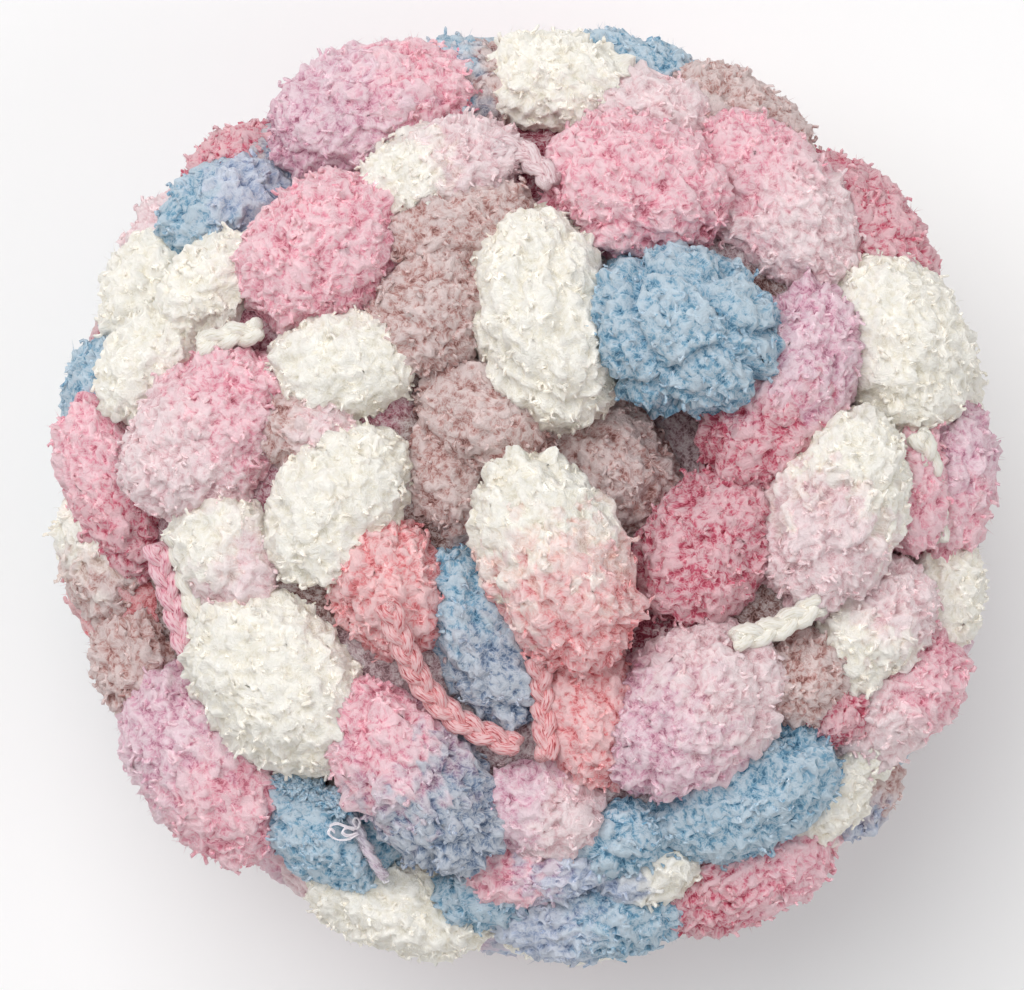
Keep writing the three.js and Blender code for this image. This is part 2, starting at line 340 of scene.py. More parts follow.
# The dyes, as they look about a third of the way up the pile, where they are pure
DYES = {
    "pink": "#DD96A6",
    "orchid": "#CF9EB1",
    "rose": "#C05C71",
    "coral": "#D9868A",
    "blush": "#DBB9BE",
    "cream": "#E9E4D7",
    "blue": "#6F9AB4",
    "slate": "#75869F",
    "lilac": "#97A5C0",
    "mauve": "#B48C87",
}


def linear(colour):
    """An sRGB hex colour as linear values."""
    values = [int(colour[i:i + 2], 16) / 255 for i in (1, 3, 5)]
    return [v / 12.92 if v <= 0.04045 else ((v + 0.055) / 1.055) ** 2.4 for v in values]


DYE = {name: np.array(linear(colour)) for name, colour in DYES.items()}
# The loose end is lilac and orchid, much faded, and its single fibres are paler still
LOOSE_DYE = 0.3 * DYE["lilac"] + 0.5 * DYE["orchid"] + 0.3
LOOP_DYE = 0.5 * LOOSE_DYE + 0.5


def envelope_height(r):
    out = min(r / BALL_RADIUS, 1)
    half = BALL_HEIGHT / 2
    return half + half * (1 - out ** SQUARENESS) ** (1 / SQUARENESS)


def envelope_radius(z):
    up = min(abs(z / (BALL_HEIGHT / 2) - 1), 1)
    return BALL_RADIUS * (1 - up ** SQUARENESS) ** (1 / SQUARENESS)


def unit(vectors):
    return vectors / np.linalg.norm(vectors, axis=-1, keepdims=True)


# Pompoms as values: their middle, run, outward side, size and dyes, all in millimetres


def face_pompoms(rows):
    pompoms = []
    for x, y, sink, length, width, turn, first, last in rows:
        way = math.radians(turn)
        r = math.hypot(x, y)
        top = envelope_height(r) - sink
        lean = (r / BALL_RADIUS) ** 2
        pompoms.append(dict(
            middle=np.array([x, y, top - width / 2]),
            along=np.array([math.cos(way), math.sin(way), 0]),
            out=unit(np.array([lean * x / max(r, 1), lean * y / max(r, 1), 1])),
            length=length,
            width=width,
            dyes=(first, last),
        ))
    return pompoms


def dyes_from(place):
    """The first and last dye of the pompom at a place along the yarn."""
    return DYE_ORDER[place % len(DYE_ORDER)], DYE_ORDER[(place + 1) % len(DYE_ORDER)]


def side_pompoms(row, first_dye):
    pompoms = []
    for i in range(row["count"]):
        angle = math.radians(row["start"] + 360 * i / row["count"])
        slope = math.radians(row["slope"])
        radius = envelope_radius(row["height"]) - row["width"] / 2
        out = np.array([math.cos(angle), math.sin(angle), 0])
        tangent = np.array([-math.sin(angle), math.cos(angle), 0])
        pompoms.append(dict(
            middle=radius * out + np.array([0, 0, row["height"]]),
            along=tangent * math.cos(slope) + np.array([0, 0, math.sin(slope)]),
            out=out,
            length=row["length"],
            width=row["width"],
            dyes=dyes_from(first_dye + i),
        ))
    return pompoms


def under_pompoms(ring, first_dye):
    pompoms = []
    for i in range(ring["count"]):
        angle = math.radians(ring["start"] + 360 * i / ring["count"])
        outward = np.array([math.cos(angle), math.sin(angle), 0])
        pompoms.append(dict(
            middle=ring["radius"] * outward + np.array([0, 0, ring["width"] / 2 - FLAT_SPOT_CUT]),
            along=np.array([-math.sin(angle), math.cos(angle), 0]),
            out=unit(np.array([0, 0, -1]) + UNDER_TILT * ring["radius"] * outward),
            length=ring["length"],
            width=ring["width"],
            dyes=dyes_from(first_dye + i),
        ))
    return pompoms


# Templates, modelled once and copied as arrays


def deselect_all():
    bpy.ops.object.select_all(action="DESELECT")


def mesh_points(obj):
    points = np.empty(3 * len(obj.data.vertices))
    obj.data.vertices.foreach_get("co", points)
    return points.reshape(-1, 3)


def template_arrays(obj):
    """The triangles of a modelled template as arrays, and the template removed."""
    deselect_all()
    obj.select_set(True)
    bpy.context.view_layer.objects.active = obj
    bpy.ops.object.mode_set(mode="EDIT")
    bpy.ops.mesh.select_all(action="SELECT")
    bpy.ops.mesh.normals_make_consistent(inside=False)
    bpy.ops.mesh.quads_convert_to_tris()
    bpy.ops.object.mode_set(mode="OBJECT")
    points = mesh_points(obj)
    triangles = np.empty(len(obj.data.loops), int)
    obj.data.loops.foreach_get("vertex_index", triangles)
    bpy.data.objects.remove(obj)
    return points, triangles.reshape(-1, 3)


def fibre_template():
    """A loose fibre end: a three-sided spike."""
    deselect_all()
    bpy.ops.mesh.primitive_cone_add(vertices=3, radius1=0.5, radius2=0, depth=1, location=(0, 0, 0.5))
    bpy.ops.object.transform_apply(location=True)
    return template_arrays(bpy.context.object)


def fine_ball(subdivisions, cuts, showing):
    """A ball whose faces are cut finer where the given test says that they show."""
    deselect_all()
    bpy.ops.mesh.primitive_ico_sphere_add(subdivisions=subdivisions, radius=1, location=(0, 0, 0))
    ball = bpy.context.object
    shown = showing(unit(mesh_points(ball)))
    corners = np.empty(len(ball.data.loops), int)
    ball.data.loops.foreach_get("vertex_index", corners)
    bpy.ops.object.mode_set(mode="EDIT")
    bpy.ops.mesh.select_mode(type="FACE")
    bpy.ops.mesh.select_all(action="DESELECT")
    bpy.ops.object.mode_set(mode="OBJECT")
    ball.data.polygons.foreach_set("select", shown[corners.reshape(-1, 3)].any(axis=1))
    bpy.ops.object.mode_set(mode="EDIT")
    if shown.any():
        bpy.ops.mesh.subdivide(number_cuts=cuts)
    bpy.ops.mesh.select_mode(type="VERT")
    bpy.ops.object.mode_set(mode="OBJECT")
    points, triangles = template_arrays(ball)
    return unit(points), triangles


def curl_template(thickness, bends):
    """A fine curl of unit length, three-sided: each bend gives how far it runs on, how far it turns
    in degrees and how much it thins."""
    deselect_all()
    bpy.ops.mesh.primitive_circle_add(vertices=3, radius=thickness / 2, fill_type="NGON", location=(0, 0, 0))
    curl = bpy.context.object
    bpy.ops.object.mode_set(mode="EDIT")
    bpy.ops.mesh.select_all(action="SELECT")
    way = 0
    for run, turn, growth in bends:
        way += math.radians(turn)
        along = (run * math.sin(way), 0, run * math.cos(way))
        bpy.ops.mesh.extrude_region_move(TRANSFORM_OT_translate={"value": along})
        bpy.ops.transform.rotate(value=-math.radians(turn), orient_axis="Y")
        bpy.ops.transform.resize(value=(growth, growth, growth))
    bpy.ops.mesh.merge(type="CENTER")
    bpy.ops.object.mode_set(mode="OBJECT")
    return template_arrays(curl)


# The faces of a ball before it is cut finer, and the share of its edge's square that each face and
# each point of an even mesh of triangles takes up
BALL_SUBDIVISIONS = 3
BALL_FACES = 320
FACE_SHARE = 0.433
POINT_SHARE = 0.866

# The curls, each bend as how far it runs on, how far it turns and how much it thins
HOOK = curl_template(0.3, [(0.25, 15, 1.15), (0.25, 50, 1), (0.25, 55, 0.95), (0.12, 50, 0.6)])
WAVE = curl_template(0.3, [(0.3, 40, 1.1), (0.35, -30, 1), (0.15, 60, 0.6)])
WISP = curl_template(0.25, [(0.35, 20, 1.1), (0.35, 25, 0.9), (0.15, 30, 0.5)])
FIBRE = fibre_template()


# How far the pitches of uneven waves lie apart, and how many points are worked out at a time
WAVE_PITCHES = (0.7, 1.3)
BATCH = 4000


def even_points(count):
    """Points spread evenly over the unit sphere, its poles at the ends of Y."""
    i = np.arange(count) + 0.5
    y = 1 - 2 * i / count
    turn = i * math.pi * (3 - math.sqrt(5))
    round_ = np.sqrt(1 - y * y)
    return np.stack([round_ * np.cos(turn), y, round_ * np.sin(turn)], axis=1)


def waves(points, rng, count, pitch):
    """A smooth uneven value at each point, between about -1 and 1."""
    ways = unit(rng.normal(size=(count, 3)))
    phases = rng.uniform(0, 2 * math.pi, count)
    pitches = pitch * rng.uniform(*WAVE_PITCHES, count)
    return np.sin(points @ ways.T * pitches + phases).sum(axis=1) / math.sqrt(count)


def nearest_two(points, seeds):
    """For each point its nearest seed, and how far off the nearest and the next one are."""
    own = np.empty(len(points), int)
    near = np.empty(len(points))
    following = np.empty(len(points))
    seed_square = (seeds ** 2).sum(axis=1)
    for start in range(0, len(points), BATCH):
        part = points[start:start + BATCH]
        square = (part ** 2).sum(axis=1)[:, None] - 2 * part @ seeds.T + seed_square
        first_two = np.argpartition(square, 1, axis=1)[:, :2]
        distance = np.sqrt(np.maximum(np.take_along_axis(square, first_two, axis=1), 0))
        own[start:start + BATCH] = first_two[:, 0]
        near[start:start + BATCH] = distance[:, 0]
        following[start:start + BATCH] = distance[:, 1]
    return own, near, following


def vertex_normals(points, triangles):
    corners = points[triangles]
    faces = np.cross(corners[:, 1] - corners[:, 0], corners[:, 2] - corners[:, 0])
    normals = np.zeros_like(points)
    for k in range(3):
        np.add.at(normals, triangles[:, k], faces)
    return unit(normals + 1e-9)


def pompom_axes(pompom):
    along = unit(pompom["along"])
    out = unit(pompom["out"] - np.dot(pompom["out"], along) * along)
    side = np.cross(along, out)
    return np.stack([side, along, out])


def on_pompom(pompom, sphere, swell, inset):
    """Points of the unit sphere placed on a pompom's plump outline, and the outward normals there."""
    round_ = np.maximum(np.hypot(sphere[:, 0], sphere[:, 2]), 1e-4)
    across = pompom["width"] / 2 - inset
    lengthwise = pompom["length"] / 2 - inset
    plump = round_ ** (FULLNESS - 1) * across
    local = np.stack([sphere[:, 0] * plump, sphere[:, 1] * lengthwise, sphere[:, 2] * plump], axis=1)
    local *= swell[:, None]
    normal = unit(np.stack([sphere[:, 0], sphere[:, 1] * across / lengthwise, sphere[:, 2]], axis=1))
    axes = pompom_axes(pompom)
    return pompom["middle"] + local @ axes, normal @ axes


def inside_others(points, pompom, others):
    """Which points lie deep inside another pompom, where nothing shows."""
    hidden = np.zeros(len(points), bool)
    for other in others:
        if other is pompom:
            continue
        reach = (pompom["length"] + other["length"]) / 2 + LOCK_LENGTH
        if np.linalg.norm(other["middle"] - pompom["middle"]) > reach:
            continue
        local = (points - other["middle"]) @ pompom_axes(other).T
        lengthwise = local[:, 1] / (other["length"] / 2)
        across = np.hypot(local[:, 0], local[:, 2]) / (other["width"] / 2)
        hidden |= np.hypot(lengthwise, across) < HIDDEN_WITHIN
    return hidden


class Pile:
    """Joined arrays of many small forms, which become one mesh."""

    def __init__(self):
        self.points, self.triangles, self.dye, self.tip, self.fibre = [], [], [], [], []
        self.count = 0

    def add(self, points, triangles, dye, tip, fibre):
        self.points.append(points)
        self.triangles.append(triangles + self.count)
        self.dye.append(dye)
        self.tip.append(tip)
        self.fibre.append(fibre)
        self.count += len(points)

    def add_copies(self, template, roots, ways, widths, lengths, dyes, painted_light_levels, rng):
        """Copies of a template, one at each root, along its way, with its own dye and level."""
        points, triangles = template
        count = len(roots)
        lean = unit(np.cross(ways, rng.normal(size=(count, 3))))
        cross = np.cross(ways, lean)
        placed = (
            roots[:, None]
            + points[None, :, 0:1] * (lean * widths[:, None])[:, None]
            + points[None, :, 1:2] * (cross * widths[:, None])[:, None]
            + points[None, :, 2:3] * (ways * lengths[:, None])[:, None]
        )
        offsets = np.arange(count)[:, None, None] * len(points)
        # Painted shade towards each copy's root, as a lower level there
        tip = painted_light_levels[:, None] * (PAINTED_ROOT_SHADE_LEVEL + (1 - PAINTED_ROOT_SHADE_LEVEL) * np.clip(points[:, 2], 0, 1))
        scale = np.stack([widths, widths, ALONG_FIBRE * lengths], axis=1)
        fibre = points[None] * scale[:, None] + rng.uniform(0, 99, (count, 1, 3))
        self.add(
            placed.reshape(-1, 3),
            (triangles[None] + offsets).reshape(-1, 3),
            np.repeat(dyes, len(points), axis=0),
            tip.ravel(),
            fibre.reshape(-1, 3),
        )

    def mesh_object(self, name):
        """The joined mesh, in metres, with its dye, tip and fibre attributes."""
        points = np.concatenate(self.points)
        points[:, 2] = np.maximum(points[:, 2], 0)
        triangles = np.concatenate(self.triangles)
        mesh = bpy.data.meshes.new(name)
        mesh.vertices.add(len(points))
        mesh.vertices.foreach_set("co", (points * MM).astype(np.float32).ravel())
        mesh.loops.add(3 * len(triangles))
        mesh.loops.foreach_set("vertex_index", triangles.astype(np.int32).ravel())
        mesh.polygons.add(len(triangles))
        mesh.polygons.foreach_set("loop_start", np.arange(0, 3 * len(triangles), 3, dtype=np.int32))
        mesh.polygons.foreach_set("use_smooth", np.ones(len(triangles), bool))
        mesh.update(calc_edges=True)
        dye = mesh.attributes.new("dye", "FLOAT_COLOR", "POINT")
        colours = np.ones((len(points), 4), np.float32)
        colours[:, :3] = np.concatenate(self.dye)
        dye.data.foreach_set("color", colours.ravel())
        # The tip level sets the pile's painted shade, low, and its painted highlight, high
        tip = mesh.attributes.new("tip", "FLOAT", "POINT")
        tip.data.foreach_set("value", np.concatenate(self.tip).astype(np.float32))
        fibre = mesh.attributes.new("fibre", "FLOAT_VECTOR", "POINT")
        fibre.data.foreach_set("vector", np.concatenate(self.fibre).astype(np.float32).ravel())
        obj = bpy.data.objects.new(name, mesh)
        bpy.context.collection.objects.link(obj)
        return obj


def dye_along(pompom, sphere, rng):
    """The dye at each point of a pompom: its first dye runs softly into its last."""
    first, last = (DYE[name] for name in pompom["dyes"])
    blur = rng.normal(0, CHANGE_BLUR, len(sphere))
    place = 0.5 + 0.5 * sphere[:, 1] + blur + CHANGE_BLUR * waves(sphere, rng, 3, 3)
    mix = np.clip((place - CHANGE_FROM) / CHANGE_OVER, 0, 1)
    mix = (mix * mix * (3 - 2 * mix))[:, None]
    shade = 1 + rng.normal(0, DYE_UNEVEN, (len(sphere), 1))
    return np.clip((first * (1 - mix) + last * mix) * shade, 0, 1)


def raise_tufts(points, normals, seeds, spacing, rng):
    """Raises a tuft over each seed: rounded on top, leaning its own way, with a crease round it.
    Gives back the raised points, how far up its tuft each lies, and which tuft it belongs to."""
    drift = np.stack([waves(points, rng, 4, WANDER_PITCH) for _ in range(3)], axis=1)
    own, near, following = nearest_two(points + WANDER * drift, seeds)
    edge = np.clip((following - near) / (CREASE_WIDTH * spacing), 0, 1)
    top = 1 - TUFT_ROUNDING * np.clip(near / spacing, 0, 1) ** 2
    up = np.sqrt(1 - (1 - edge) ** 2) * top
    count = len(seeds)
    # Part of the rise and of the lean is shared by the tufts of a clump, and part is each tuft's own
    clump = waves(seeds, rng, 4, CLUMP_PITCH)
    rise = TUFT_RISE + TUFT_RISE_SPREAD * (0.6 * clump + 0.8 * rng.normal(size=count))
    clump_lean = np.stack([waves(seeds, rng, 3, LEAN_PITCH) for _ in range(3)], axis=1)
    lean = TUFT_LEAN * (0.7 * clump_lean + 0.7 * rng.normal(size=(count, 3)))
    outwards = normals * (np.maximum(rise, TUFT_RISE_LEAST)[own] * up)[:, None]
    raised = points + outwards + lean[own] * up[:, None]
    # Painted shade in the crease round each tuft and painted highlight on its top, higher on taller tufts,
    # as a level
    tip = np.clip(up * (TUFT_TIP + TUFT_TIP_SPREAD * (rise[own] - TUFT_RISE) / TUFT_RISE_SPREAD), 0, 1)
    return raised, tip, own


def add_singles(pile, points, normals, dyes, painted_light_levels, shown, finish, rng):
    """The fine curls and loose fibre ends that stand out of the crumb."""
    point_area = POINT_SHARE * finish["edge"] ** 2
    # Each of the three kinds of curl gets a third of the places
    curl_share = 1 / 3 / finish["curl_area"]
    for template, share, width, length, sunk, spread in (
        (HOOK, curl_share, CURL_SIZE, CURL_SIZE, 0.4, 1.2),
        (WAVE, curl_share, CURL_SIZE, CURL_SIZE, 0.8, 1.3),
        (WISP, curl_share, CURL_SIZE, CURL_SIZE, 0.8, 1.4),
        (FIBRE, 1 / finish["fuzz_area"], FUZZ_WIDTH, FUZZ_LENGTH, 0.5, 0.7),
    ):
        wanted = share * point_area
        picked = np.repeat(np.arange(len(points)), rng.poisson(wanted, len(points)) * shown)
        count = len(picked)
        if not count:
            continue
        ways = unit(normals[picked] + spread * rng.normal(0, SINGLE_LEAN, (count, 3)))
        size = rng.uniform(*SINGLE_SIZES, count)
        roots = points[picked] - sunk * ways
        faded = np.clip(dyes[picked] * SINGLE_BLEACH, 0, 1)
        pile.add_copies(template, roots, ways, width * size, length * size, faded, painted_light_levels[picked], rng)


def under_thread(points):
    """How much the pile is pressed at each point by the loose end that lies on it, from 0 to 1."""
    path, _ = smooth_path(LOOSE_END[HIDDEN_POINTS:], 1)
    pressed = np.zeros(len(points))
    for place in path:
        away = np.hypot(points[:, 0] - place[0], points[:, 1] - place[1])
        low = np.abs(points[:, 2] - place[2]) < PRESSED_WITHIN
        pressed = np.maximum(pressed, np.exp(-(away / END_DIAMETER) ** 2) * low)
    return pressed


def pompom_locks(pompom, rng):
    """Where a pompom's pointed locks stand on the unit sphere, and how far each one rises."""
    if tuple(pompom["middle"][:2]) == FRONT_POMPOM_AT:
        turns = np.radians(FRONT_LOCK_TURNS)
        ways = np.stack([np.cos(turns), np.sin(turns), np.full(len(turns), FRONT_LOCK_UP)], axis=1)
        places = ways @ pompom_axes(pompom).T
        places[:, 1] *= pompom["width"] / pompom["length"]
        return unit(places), FRONT_LOCK_RISE * rng.uniform(*FRONT_LOCK_SHARES, len(turns))
    places = rng.normal(size=(LOCKS, 3)) * LOCK_WAYS + LOCK_WAYS_UP
    return unit(places), rng.uniform(*LOCK_RISES, LOCKS)


def add_pompom(pile, pompom, others, finish, rng):
    """One pompom: its lobes and locks, the crumb on them, then its fine curls and loose fibre ends."""
    pompom = dict(pompom, length=pompom["length"] + 2 * PILE_PROUD, width=pompom["width"] + 2 * PILE_PROUD)
    # About the area of a plump oval of that width and length
    area = math.pi * pompom["width"] * (0.35 * pompom["width"] + 0.7 * pompom["length"])
    face_area = FACE_SHARE * finish["edge"] ** 2
    cuts = max(round(math.sqrt(area / (BALL_FACES * face_area))) - 1, 1)
    heads = unit(even_points(LOBES) + rng.normal(0, LOBE_SCATTER, (LOBES, 3)))
    cleft = DEEPEST_CLEFT if tuple(pompom["middle"][:2]) == DEEPEST_CLEFT_AT else rng.uniform(*CLEFT_DEPTHS)
    locks, lock_rises = pompom_locks(pompom, rng)
    lobe_seed = rng.integers(0, 2 ** 31)

    def lobed(points):
        """How far the pompom swells at each point, and how much painted shade of a cleft or painted
        highlight of a lock it gets.
        """
        local = np.random.default_rng(lobe_seed)
        drift = np.stack([waves(points, local, 3, 3) for _ in range(3)], axis=1)
        _, near, following = nearest_two(points + LOBE_WANDER * drift, heads)
        valley = np.exp(-((following - near) / CLEFT_WIDTH) ** 2)
        lock = np.zeros(len(points))
        for place, lock_rise in zip(locks, lock_rises):
            away = np.linalg.norm(points + LOCK_WANDER * drift - place, axis=1)
            lock = np.maximum(lock, lock_rise * np.clip(1 - away / LOCK_SPREAD, 0, 1) ** LOCK_POINT)
        swell = 1 + LOBE_RISE * (LOBE_LEVEL - near ** 2) - cleft * valley + lock
        return swell, valley - PAINTED_LOCK_HIGHLIGHT * lock

    def showing(ball):
        outline, _ = on_pompom(pompom, ball, lobed(ball)[0], 0)
        return (ball[:, 2] > HEART_SIDE) & ~inside_others(outline, pompom, others)

    inset = TUFT_RISE
    sphere, triangles = fine_ball(BALL_SUBDIVISIONS, cuts, showing)
    swell, valley = lobed(sphere)
    base, normals = on_pompom(pompom, sphere, swell, inset)
    count = int(area / finish["spacing"] ** 2)
    seed_sphere = unit(even_points(count) + rng.normal(0, TUFT_SCATTER / math.sqrt(count), (count, 3)))
    seed_swell, _ = lobed(seed_sphere)
    seeds, _ = on_pompom(pompom, seed_sphere, seed_swell, inset)
    raised, tip, own = raise_tufts(base, normals, seeds, finish["spacing"], rng)
    pressed = under_thread(raised)
    raised = raised - normals * (PRESSED_BY * pressed)[:, None]
    dyes = dye_along(pompom, seed_sphere, rng)[own]
    # Painted shade: a lower level down the flank towards the ball's heart and in the clefts; painted
    # highlight: a higher one on the locks
    crown = np.clip((sphere[:, 2] - HEART_SIDE) / CROWN_REACH, 0, 1)
    painted_light_levels = np.clip((PAINTED_FLANK_SHADE_LEVEL + (1 - PAINTED_FLANK_SHADE_LEVEL) * crown) * (1 - PAINTED_CLEFT_SHADE * valley), 0, 1)
    pile.add(raised, triangles, dyes, tip * painted_light_levels, base + ALONG_FIBRE * (raised - base))
    shown = (sphere[:, 2] > HEART_SIDE + SINGLE_MARGIN) & (pressed < PRESSED_BARE)
    shown &= ~inside_others(raised, pompom, others)
    add_singles(pile, raised, vertex_normals(raised, triangles), dyes, painted_light_levels, shown, finish, rng)


def core_outline(sphere):
    """Points of the unit sphere placed on the outline of the inner turns."""
    grown = np.hypot(sphere[:, 0], sphere[:, 1]) ** SQUARENESS + np.abs(sphere[:, 2]) ** SQUARENESS
    shape = sphere * (grown ** (-1 / SQUARENESS))[:, None]
    x = shape[:, 0] * (BALL_RADIUS - CORE_DEPTH)
    y = shape[:, 1] * (BALL_RADIUS - CORE_DEPTH)
    away = np.hypot(x - HOLLOW_X, y - HOLLOW_Y) / HOLLOW_RADIUS
    hollow = np.where(shape[:, 2] > 0, HOLLOW_DEPTH * np.exp(-away ** 2), 0)
    z = BALL_HEIGHT / 2 + shape[:, 2] * (BALL_HEIGHT / 2 - CORE_DEPTH) - hollow
    return np.stack([x, y, z], axis=1)


def add_core(pile, rng):
    """The turns inside the ball, whose pile shows deep between the pompoms."""
    whole = dict(middle=np.array([0, 0, BALL_HEIGHT / 2]), length=4 * BALL_RADIUS, width=1)

    def showing(ball):
        return ~inside_others(core_outline(ball), whole, ALL_POMPOMS)

    sphere, triangles = fine_ball(CORE_SUBDIVISIONS, CORE_CUTS, showing)
    base = core_outline(sphere)
    normals = vertex_normals(base, triangles)
    seed_sphere = unit(even_points(CORE_SEEDS) + rng.normal(0, CORE_SCATTER, (CORE_SEEDS, 3)))
    seeds = core_outline(seed_sphere)
    seeds = seeds[~inside_others(seeds, whole, ALL_POMPOMS)]
    raised, tip, own = raise_tufts(base, normals, seeds, CORE_PILE["spacing"], rng)
    last = len(CORE_DYES) - 1
    place = (waves(seeds, rng, 4, CORE_DYE_PITCH) + CORE_DYE_REACH) / (2 * CORE_DYE_REACH) * last
    dyes = np.array([DYE[CORE_DYES[int(np.clip(round(p), 0, last))]] for p in place])[own]
    # Painted shade: the inner turns' dyes darkened and their level lowered
    pile.add(raised, triangles, PAINTED_CORE_SHADE * dyes, PAINTED_CORE_SHADE_LEVEL * tip, base + ALONG_FIBRE * (raised - base))
    shown = ~inside_others(raised, whole, ALL_POMPOMS)
    # The inner turns' curls get the flank's painted shade
    painted_light_levels = np.full(len(raised), PAINTED_FLANK_SHADE_LEVEL)
    normals = vertex_normals(raised, triangles)
    add_singles(pile, raised, normals, PAINTED_CORE_SHADE * dyes, painted_light_levels, shown, CORE_PILE, rng)


def smooth_path(points, step):
    """Points a step apart along a smooth curve through the given ones, in millimetres."""
    points = np.array(points, float)
    padded = np.vstack([2 * points[0] - points[1], points, 2 * points[-1] - points[-2]])
    fine = []
    for i in range(1, len(padded) - 2):
        p0, p1, p2, p3 = padded[i - 1:i + 3]
        t = np.linspace(0, 1, 40, endpoint=False)[:, None]
        square = 2 * p0 - 5 * p1 + 4 * p2 - p3
        cube = 3 * p1 - p0 - 3 * p2 + p3
        fine.append(0.5 * (2 * p1 + (p2 - p0) * t + square * t ** 2 + cube * t ** 3))
    fine = np.vstack(fine + [points[-1:]])
    run = np.concatenate([[0], np.cumsum(np.linalg.norm(np.diff(fine, axis=0), axis=1))])
    at = np.linspace(0, run[-1], max(int(run[-1] / step), 3) + 1)
    return np.stack([np.interp(at, run, fine[:, k]) for k in range(3)], axis=1), at


def path_frames(path):
    ways = unit(np.gradient(path, axis=0))
    side = unit(np.cross(ways, np.array([0, 0, 1.0])) + 1e-6)
    return ways, side, np.cross(side, ways)


def add_strand(pile, middle, run, radius, sides, dye, rng):
    """A closed soft strand along a line, its nap a little uneven and its dye given at each point."""
    ways, side, up = path_frames(middle)
    around = 2 * math.pi * np.arange(sides) / sides
    nap = radius[:, None] * (1 + STRAND_NAP * rng.normal(size=(len(middle), sides)))
    rings = middle[:, None] + nap[:, :, None] * (
        np.cos(around)[None, :, None] * side[:, None] + np.sin(around)[None, :, None] * up[:, None]
    )
    start_cap = middle[:1] - STRAND_CAP * radius[0] * ways[:1]
    end_cap = middle[-1:] + STRAND_CAP * radius[-1] * ways[-1:]
    points = np.concatenate([rings.reshape(-1, 3), start_cap, end_cap])
    last = len(middle) - 1
    ring = np.arange(last)[:, None] * sides
    a = (ring + np.arange(sides)).ravel()
    b = (ring + (np.arange(sides) + 1) % sides).ravel()
    walls = np.concatenate([np.stack([a, b, b + sides], 1), np.stack([a, b + sides, a + sides], 1)])
    k = np.arange(sides)
    n = (k + 1) % sides
    start = np.stack([np.full(sides, len(middle) * sides), n, k], 1)
    end = np.stack([np.full(sides, len(middle) * sides + 1), last * sides + k, last * sides + n], 1)
    fibre = np.zeros((len(points), 3))
    fibre[:-2, 0] = (np.cos(around) * radius[:, None]).ravel()
    fibre[:-2, 1] = (np.sin(around) * radius[:, None]).ravel()
    fibre[:-2, 2] = np.repeat(run, sides)
    pile.add(
        points,
        np.concatenate([walls, start, end]),
        np.concatenate([np.repeat(dye, sides, axis=0), dye[:1], dye[-1:]]),
        np.full(len(points), STRAND_LEVEL),
        fibre + rng.uniform(0, 50),
    )


def add_plait(pile, dye, points, rng):
    """A stretch of the three-strand plait that joins two pompoms."""
    placed = [(x, y, envelope_height(math.hypot(x, y)) - sink) for x, y, sink in points]
    path, run = smooth_path(placed, PLAIT_STEP)
    _, side, up = path_frames(path)
    for strand in range(3):
        turn = 2 * math.pi * (run / PLAIT_PITCH + strand / 3)
        aside = PLAIT_SWING * np.cos(turn)[:, None] * side
        middle = path + aside + PLAIT_LIFT * np.sin(2 * turn)[:, None] * up
        radius = PLAIT_STRAND / 2 * (1 + PLAIT_PINCH * np.cos(2 * turn))
        add_strand(pile, middle, run, radius, PLAIT_SIDES, np.tile(DYE[dye], (len(run), 1)), rng)


# The camera looks straight down on the ball's upper end, from CAMERA_ABOVE metres over its rim
PHOTO_WIDTH = 1024
PHOTO_HEIGHT = 990
MM_PER_PIXEL = 0.2
BALL_MIDDLE_PX = (527, 500)
CAMERA_ABOVE = 0.9
RIM_LEVEL = 0.085
SENSOR_WIDTH = 36


def place_camera():
    data = bpy.data.cameras.new("camera")
    camera = bpy.data.objects.new("camera", data)
    bpy.context.collection.objects.link(camera)
    x = (PHOTO_WIDTH / 2 - BALL_MIDDLE_PX[0]) * MM_PER_PIXEL * MM
    y = (BALL_MIDDLE_PX[1] - PHOTO_HEIGHT / 2) * MM_PER_PIXEL * MM
    camera.location = (x, y, RIM_LEVEL + CAMERA_ABOVE)
    data.sensor_width = SENSOR_WIDTH
    data.lens = SENSOR_WIDTH * CAMERA_ABOVE / (PHOTO_WIDTH * MM_PER_PIXEL * MM)
    data.clip_start = 0.05
    bpy.context.scene.camera = camera


place_camera()


# Materials


def node(tree, kind, links=(), inputs=(), **settings):
    """Adds a node, sets its values and inputs, and links the given outputs to its inputs."""
    made = tree.nodes.new(kind)
    for key, value in settings.items():
        setattr(made, key, value)
    for key, value in dict(inputs).items():
        made.inputs[key].default_value = value
    for output, key in links:
        tree.links.new(output, made.inputs[key])
    return made


# How far light scatters in the pile
SCATTER_MM = 1.2
# The crumb that is too fine for the mesh: its spacing, how far from its middle it falls away, and
# its share of the pattern's height, then the same for the curls that wind over it
CRUMB_MM = 1.35
CRUMB_SPAN = (0.2, 0.85)
CRUMB_SHARE = 0.55
FLUFF_MM = 0.75
CURL_SPAN = 0.12
CURL_SHARE = 0.4
# How much of a point's level comes from the pattern, which paints shade in its hollows and highlight on
# its crests, the level of the highest tips, and how deep the pattern is, on the pile and on the plait
PATTERN_LEVEL = 0.8
HIGHEST_LEVEL = 1.1
PATTERN_BUMP = 0.8
PILE_BUMP_MM = 0.3
PLAIT_BUMP_MM = 0.5
# The plait's own fibres are far finer than this: they are drawn coarse enough to show
FIBRE_MM = 0.3
FIBRE_STRETCH = 0.25
GRAIN_SPAN = (0.3, 0.56)


